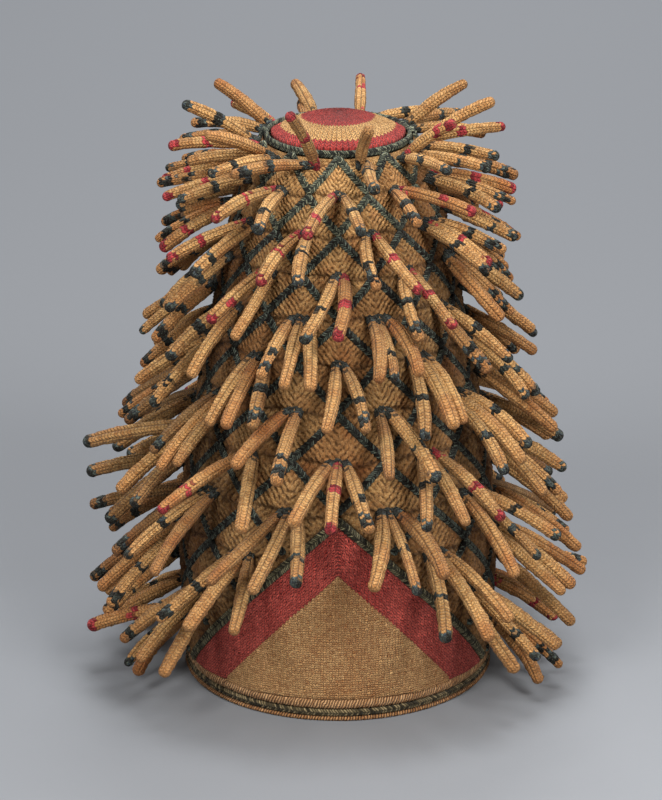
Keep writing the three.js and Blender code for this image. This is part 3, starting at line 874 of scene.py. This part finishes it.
def even_path(azimuth, z, step, closed):
    """Azimuths and heights at an even count of equal steps of length along a path on the knit."""
    route = place(azimuth, face_radius(z), z)
    run = np.concatenate([[0], np.cumsum(np.linalg.norm(np.diff(route, axis=0), axis=1))])
    count = 2 * round(run[-1] / (2 * step))
    stops = np.linspace(0, run[-1], count + 1)
    if closed:
        stops = stops[:-1]
    return np.interp(stops, run, azimuth), np.interp(stops, run, z)


def cord(skin, azimuth, z, radius, closed, width=CORD_WIDTH, height=CORD_HEIGHT):
    """A two-ply chain cord along a path: a groove between the plies and strokes that alternate."""
    centre = place(azimuth, radius, z)
    if closed:
        ahead = unit(np.roll(centre, -1, axis=0) - np.roll(centre, 1, axis=0))
    else:
        ahead = unit(np.gradient(centre, axis=0))
    out = outward(azimuth, z)
    wide = unit(np.cross(out, ahead))
    out = np.cross(ahead, wide)
    columns = 10
    column = np.arange(columns)
    angle = 2 * math.pi * (column + 0.5) / columns
    ring = np.arange(len(centre))[:, None]
    beat = 1 - 2 * (ring % 2)
    crown_column = columns // 4
    ply = np.select([column < crown_column, column == crown_column, column < columns // 2], [1, 0, -1], 0)
    rough = draw.normal(0, CORD_ROUGH, (len(centre), columns))
    relief = 1 + PLY_BEAT * beat * ply - PLY_GROOVE * (column == crown_column) + rough
    across = relief * np.cos(angle) * width / 2
    rise = relief * np.sin(angle) * height * CORD_ROUND + height * CORD_LIFT
    points = centre[:, None] + across[..., None] * wide[:, None] + rise[..., None] * out[:, None]
    if closed:
        points = np.concatenate([points, points[:1]])
    wales = np.arange(columns + 1) * 2 / columns
    rows = np.arange(len(points))[:, None] * 1.0
    number = skin.grid(points, wales, rows, wrap=True)
    if not closed:
        skin.close(number[-1], centre[-1] + ahead[-1], (0.2, rows[-1, 0]))
        skin.close(number[0], centre[0] - ahead[0], (0.2, 0.0), flip=True)


def zigzag(row, run):
    """Path of the cord along the upper border of a run of lozenges, with rounded turns."""
    peak = row_z(row - 1) - (0 if row == 1 else CROSSING_HALF)
    valley = row_z(row) + CROSSING_HALF
    closed = len(run) == COLUMNS
    inset = 0 if closed else CORD_END
    azimuth = np.arange(run[0][0] - HALF + inset, run[-1][0] + HALF - inset + 0.01, PATH_STEP)
    tight = 0.9985
    wave = np.arcsin(tight * np.cos(np.radians((azimuth - run[0][0]) * 180 / HALF))) / math.asin(tight)
    z = valley + (peak - valley) * (0.5 + 0.5 * wave)
    return azimuth, np.maximum(z, HEM_TOP + HEM_CLEAR), closed


def border_cord(finish, row, run):
    azimuth, z, closed = zigzag(row, run)
    azimuth, z = even_path(azimuth, z, CORD_STROKE, closed)
    skin = Skin()
    cord(skin, azimuth, z, face_radius(z), closed)
    name = f"border_cord_{row:02d}{side_name(run)}"
    skin.make(f"{name}_chain", finish, [name])


def outline_z(offset):
    """Height of a panel's outline: down one row for each half column away from the panel's middle."""
    stops = [HALF * k for k in range(5)]
    heights = [row_z(PANEL_TIER + k) - OUTLINE_DROP for k in range(5)]
    heights[0] = row_z(PANEL_TIER) - CORD_INSET
    return np.interp(np.abs(offset), stops, heights)


def offset_at(drop, z, steep=0.0):
    """Offset from a panel's middle at which the outline, lowered and made steeper, meets a height."""
    offsets = np.arange(0, 4 * HALF, OFFSET_STEP)
    return float(offsets[np.argmax(outline_z(offsets) - drop - steep * offsets <= z)])


def plate(skin, middle, end, low_edge, high_edge, rows, stitch, course, top_edge):
    """A sheet of fine knit over the wall, with rows that follow a course and borders that turn down."""
    columns = 2 * round(end / PLATE_STEP) + 1
    offset = np.linspace(-end, end, columns)
    low = low_edge(offset)
    high = np.maximum(high_edge(offset), low + PLATE_LEAST)
    share = np.linspace(0, 1, rows)[:, None]
    z = low + (high - low) * share
    ripple = 0.25 * np.sin(offset * 0.21 + z * 0.11) + 0.14 * np.sin(offset * 0.5 - z * 0.07)
    raise_by = PLATE_RAISE + ripple + draw.normal(0, PLATE_ROUGH, z.shape)
    raise_by[-1] = top_edge
    raise_by[0] = np.where(low > PANEL_FOOT, PLATE_TUCK, FOOT_TUCK)
    raise_by[:, [0, -1]] = PLATE_TUCK
    points = place(middle + offset, face_radius(z) + raise_by, z)
    across = np.broadcast_to(np.radians(offset) * HEM_RADIUS / stitch, z.shape)
    skin.grid(points, across, (z - course(offset)) / (stitch * STITCH_SQUASH))


def panel(side, middle, finishes):
    """Outline cord, red chevron and camel field of one panel."""
    cord_end = offset_at(0, HEM_TOP + OUTLINE_CLEAR)
    offset = np.arange(-cord_end, cord_end, PATH_STEP)
    azimuth, z = even_path(middle + offset, outline_z(offset), CORD_STROKE, False)
    outline = Skin()
    cord(outline, azimuth, z, face_radius(z) + OUTLINE_LIFT, False, OUTLINE_WIDTH)
    outline.make(f"{side}_outline_chain", finishes["outline"], [f"{side}_outline"])

    field_drop = CHEVRON_DROP + CHEVRON_DEPTH

    def level(offset):
        return np.full_like(offset, PANEL_FOOT)

    def top(offset):
        return outline_z(offset) - CHEVRON_DROP + SEAM_LAP

    def seam(offset):
        line = outline_z(offset) - field_drop - SEAM_STEEP * np.abs(offset)
        teeth = SEAM_TEETH * np.sin(offset * SEAM_TOOTH_RATE)
        return np.maximum(line + teeth, PANEL_FOOT)

    def under(offset):
        return np.maximum(seam(offset) - SEAM_LAP, PANEL_FOOT)

    chevron = Skin()
    chevron_end = offset_at(CHEVRON_DROP, PANEL_BASE + 1)
    plate(chevron, middle, chevron_end, under, top, CHEVRON_ROWS, CHEVRON_STITCH, outline_z, PLATE_TUCK)
    chevron.make(f"{side}_chevron_knit", finishes["red"], [f"{side}_chevron"])
    field = Skin()
    field_end = offset_at(field_drop, PANEL_BASE + 1, SEAM_STEEP)
    field_top = PLATE_RAISE - FIELD_STEP
    plate(field, middle, field_end, level, seam, FIELD_ROWS, FIELD_STITCH, level, field_top)
    field.make(f"{side}_field_knit", finishes["field"], [f"{side}_field"])


def hem_row(name, low, high, finish, braided):
    """One row of the rim: a knitted roll, or a braid with a groove along its face."""
    columns, rings = 12, 720
    ring = np.arange(rings + 1)[:, None]
    column = np.arange(columns)
    angle = 2 * math.pi * column / columns - math.pi / 2
    run = ring * 2 * math.pi * HEM_RADIUS / rings
    strokes = np.cos(2 * math.pi * (run / HEM_STROKE + braided * np.abs(np.sin(angle))))
    bumps = draw.normal(0, HEM_ROUGH, (rings, columns))[ring[:, 0] % rings]
    groove = BRAID_GROOVE * braided * (column == columns // 4)
    relief = 1 + HEM_RELIEF * strokes + bumps - groove
    swing = 1 + HEM_SWING * np.sin(np.radians(ring * 360 / rings) * HEM_WAVES)
    full = np.copysign(np.abs(np.cos(angle)) ** HEM_FULLNESS, np.cos(angle))
    radius = HEM_CORE + (HEM_DEPTH + HEM_SWELL * swing) * relief * full
    half = (high - low) / 2 + HEM_OVERLAP
    z = (low + high) / 2 + np.clip(relief, 0, 1.05) * np.sin(angle) * half
    points = place(HEM_SEAM + 360 * ring / rings, radius, np.maximum(z, max(low - HEM_DIP, 0.0)))
    around = np.arange(columns - 1, -2, -1) * (BRAID_WALES if braided else ROLL_WALES) / columns
    skin = Skin()
    skin.grid(points[:, ::-1], around, run / HEM_STITCH, wrap=True)
    skin.make(f"{name}_knit", finish, [name])


def crown(finishes):
    """Domed roundel, a little sunk at the back, and the dark round that it is set in."""
    rings, columns = 34, 200
    turn = 360 * np.arange(columns) / columns
    radius = np.linspace(ROUNDEL_EYE, ROUNDEL_RADIUS, rings)[:, None]
    share = radius / ROUNDEL_RADIUS
    sag = ROUNDEL_SAG * share * np.clip(-np.cos(np.radians(turn)), 0, 1)
    rough = draw.normal(0, ROUNDEL_ROUGH, (rings, columns))
    z = ROUNDEL_EDGE_Z + ROUNDEL_RISE * (1 - share ** 2) - sag + rough
    points = np.concatenate([place(turn, radius, z), place(turn, radius, z - ROUNDEL_THICK)[::-1]])
    wales = np.arange(columns + 1) / columns * ROUNDEL_WALES
    rows = np.concatenate([radius, radius[::-1]]) / ROUNDEL_STITCH
    skin = Skin()
    number = skin.grid(points[:, ::-1], wales, rows, wrap=True)
    skin.close(number[-1], points[-1].mean(axis=0), (0.2, 0.2))
    skin.close(number[0], points[0].mean(axis=0), (0.2, 0.2), flip=True)
    skin.make("crown_roundel_knit", finishes["roundel"], ["crown_roundel"])

    ring = Skin()
    steps = 2 * round(math.pi * RING_RADIUS / CORD_STROKE)
    azimuth = 360 * np.arange(steps) / steps
    cord(ring, azimuth, np.full(steps, RING_Z), RING_RADIUS, True, RING_WIDTH, RING_HEIGHT)
    ring.make("roundel_ring_chain", finishes["crown_cord"], ["roundel_ring"])


def cap_wall(finish):
    """Hollow knitted wall under the quilting, open at the rim."""
    columns, rings = 120, 56
    azimuth = 360 * np.arange(columns) / columns
    z = np.linspace(WALL_FOOT, WALL_TOP, rings)[:, None]
    outer = place(azimuth, face_radius(z) - WALL_SINK, z)
    inner = place(azimuth, face_radius(z) - WALL_SINK - WALL_THICK, z)[::-1]
    points = np.concatenate([outer, inner, outer[:1]])
    inner_run, last_run = 400, 800
    run = np.concatenate([z, z[::-1] + inner_run, z[:1] + last_run]) / WALL_STITCH
    skin = Skin()
    skin.grid(points, np.arange(columns + 1) * 2, run, wrap=True)
    nodes = [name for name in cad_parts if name.startswith("cap_wall")]
    skin.make("cap_wall_knit", finish, nodes)


def make_headdress():
    finishes = {
        "finger": finger_finish(),
        "quilt": quilt_finish(),
        "cord": cord_finish("dark_chain_cord", INK, TEAL, MOSS),
        "crown_cord": cord_finish(
            "mottled_chain_cord", dye(30, 32, 28), dye(68, 76, 66), dye(164, 166, 136)
        ),
        "outline": cord_finish(
            "mottled_olive_cord", dye(38, 34, 24), dye(76, 74, 54), dye(176, 166, 126)
        ),
        "braid": cord_finish(
            "olive_chain_cord", dye(46, 40, 26), dye(90, 78, 52), dye(186, 164, 122)
        ),
        "red": panel_finish(
            "brick_red_fine_knit", dye(240, 110, 95), dye(146, 28, 26), dye(50, 10, 8), seam=0.7
        ),
        "field": panel_finish(
            "camel_fine_knit", dye(255, 206, 142), dye(176, 104, 48), dye(80, 40, 12)
        ),
        "edge": rope_finish(
            "tan_edge_knit", dye(214, 162, 110), dye(146, 94, 50), dye(74, 42, 20), slant=0.3
        ),
        "roll": rope_finish(
            "tan_roll_knit", dye(238, 190, 138), dye(172, 120, 74), dye(106, 68, 38), slant=0.9
        ),
        "wall": panel_finish("camel_wall_knit", CAMEL, CAMEL_DEEP, HOLE_SHADE),
        "roundel": roundel_finish(),
    }
    for row in range(len(TIERS)):
        for run in runs_of(row):
            name = f"tier_{row:02d}{side_name(run)}"
            fingers = Skin("kind", "seed", "soot", "band", "tip_band", "end", "seam")
            quilt = Skin("groove", "seed", "soot")
            for azimuth, column, bunch in run:
                bunch_of_fingers(fingers, row, azimuth, column, bunch)
                seed = lot(row, column, 0, 9)
                # Painted shade: lozenges darker on the lower rows and towards the sides, where the
                # fingers crowd
                side_soot = SIDE_PAINTED_SHADE * math.sin(math.radians(azimuth)) ** 2
                soot = min(QUILT_PAINTED_SHADE, row * ROW_PAINTED_SHADE) + side_soot
                lozenge(quilt, azimuth, row_z(row - 1), row_z(row), row_z(row + 1), seed, soot)
            made = fingers.make(f"{name}_fingers", finishes["finger"], [name])
            made = quilt.make(f"{name}_quilt", finishes["quilt"], [name])
            if row > 0:
                border_cord(finishes["crown_cord" if row <= CROWN_CORD_ROWS else "cord"], row, run)
    for run in runs_of(len(TIERS)):
        name = f"side_gusset{side_name(run)}"
        gusset = Skin("groove", "seed", "soot")
        lozenge(gusset, run[0][0], row_z(len(TIERS) - 1), HEM_TOP, HEM_TOP, 0.5, QUILT_PAINTED_SHADE)
        gusset.make(f"{name}_quilt", finishes["quilt"], [name])
        border_cord(finishes["cord"], len(TIERS), run)
    panel("front", 0, finishes)
    panel("back", 180, finishes)
    hem_row("hem_edge", *HEM_EDGE, finishes["edge"], False)
    hem_row("hem_braid", *HEM_BRAID, finishes["braid"], True)
    hem_row("hem_roll", *HEM_ROLL, finishes["roll"], False)
    crown(finishes)
    cap_wall(finishes["wall"])


def floor_finish():
    """Pale grey paper with painted light: a little lighter towards the front right."""
    finish = Finish("pale_studio_paper")
    grain = finish.noise(14, 3)
    x, y = finish.spread(finish.place)
    # Painted light: the paper is lighter towards the front right.
    paper = finish.mix((x * 0.6 - y).ramp(-0.1, 0.35), dye(129, 132, 137), dye(144, 147, 152))
    colour = finish.mix(grain * 0.3, paper, dye(130, 133, 138))
    return finish.finish(colour, finish.noise(400, 2), 0.0001, rough=0.9, sheen=0.0)


def make_stage():
    """Pale paper floor, soft lights and the camera of the photo."""
    side = np.linspace(-FLOOR_HALF, FLOOR_HALF, FLOOR_POINTS)
    x, y = np.meshgrid(side, side)
    mesh = bpy.data.meshes.new("studio_floor")
    number = np.arange(x.size).reshape(x.shape)
    points = np.stack([x, y, np.zeros_like(x)], axis=-1).reshape(-1, 3)
    mesh.from_pydata(points.tolist(), [], quads(number).reshape(-1, 4).tolist())
    mesh.materials.append(floor_finish())
    floor = bpy.data.objects.new("studio_floor", mesh)
    bpy.context.scene.collection.objects.link(floor)

    for lamp in LAMPS:
        data = bpy.data.lights.new(lamp.name, "AREA")
        data.shape = "DISK"
        data.size = lamp.size
        data.energy = lamp.watts
        data.color = lamp.colour
        light = bpy.data.objects.new(lamp.name, data)
        light.location = lamp.spot
        way = Vector(lamp.target) - Vector(lamp.spot)
        light.rotation_euler = way.to_track_quat("-Z", "Y").to_euler()
        bpy.context.scene.collection.objects.link(light)

    world = bpy.data.worlds.new("studio")
    world.use_nodes = True
    room = world.node_tree.nodes["Background"]
    room.inputs["Color"].default_value = ROOM_COLOUR
    room.inputs["Strength"].default_value = ROOM_STRENGTH
    scene = bpy.context.scene
    scene.world = world
    scene.view_settings.view_transform = "Standard"

    data = bpy.data.cameras.new("photo_camera")
    data.lens = CAMERA_LENS
    data.sensor_width = CAMERA_SENSOR
    camera = bpy.data.objects.new("photo_camera", data)
    camera.location = CAMERA_SPOT
    camera.rotation_euler = (math.radians(90 - CAMERA_TILT), 0, 0)
    scene.collection.objects.link(camera)
    scene.camera = camera


make_stage()
make_headdress()
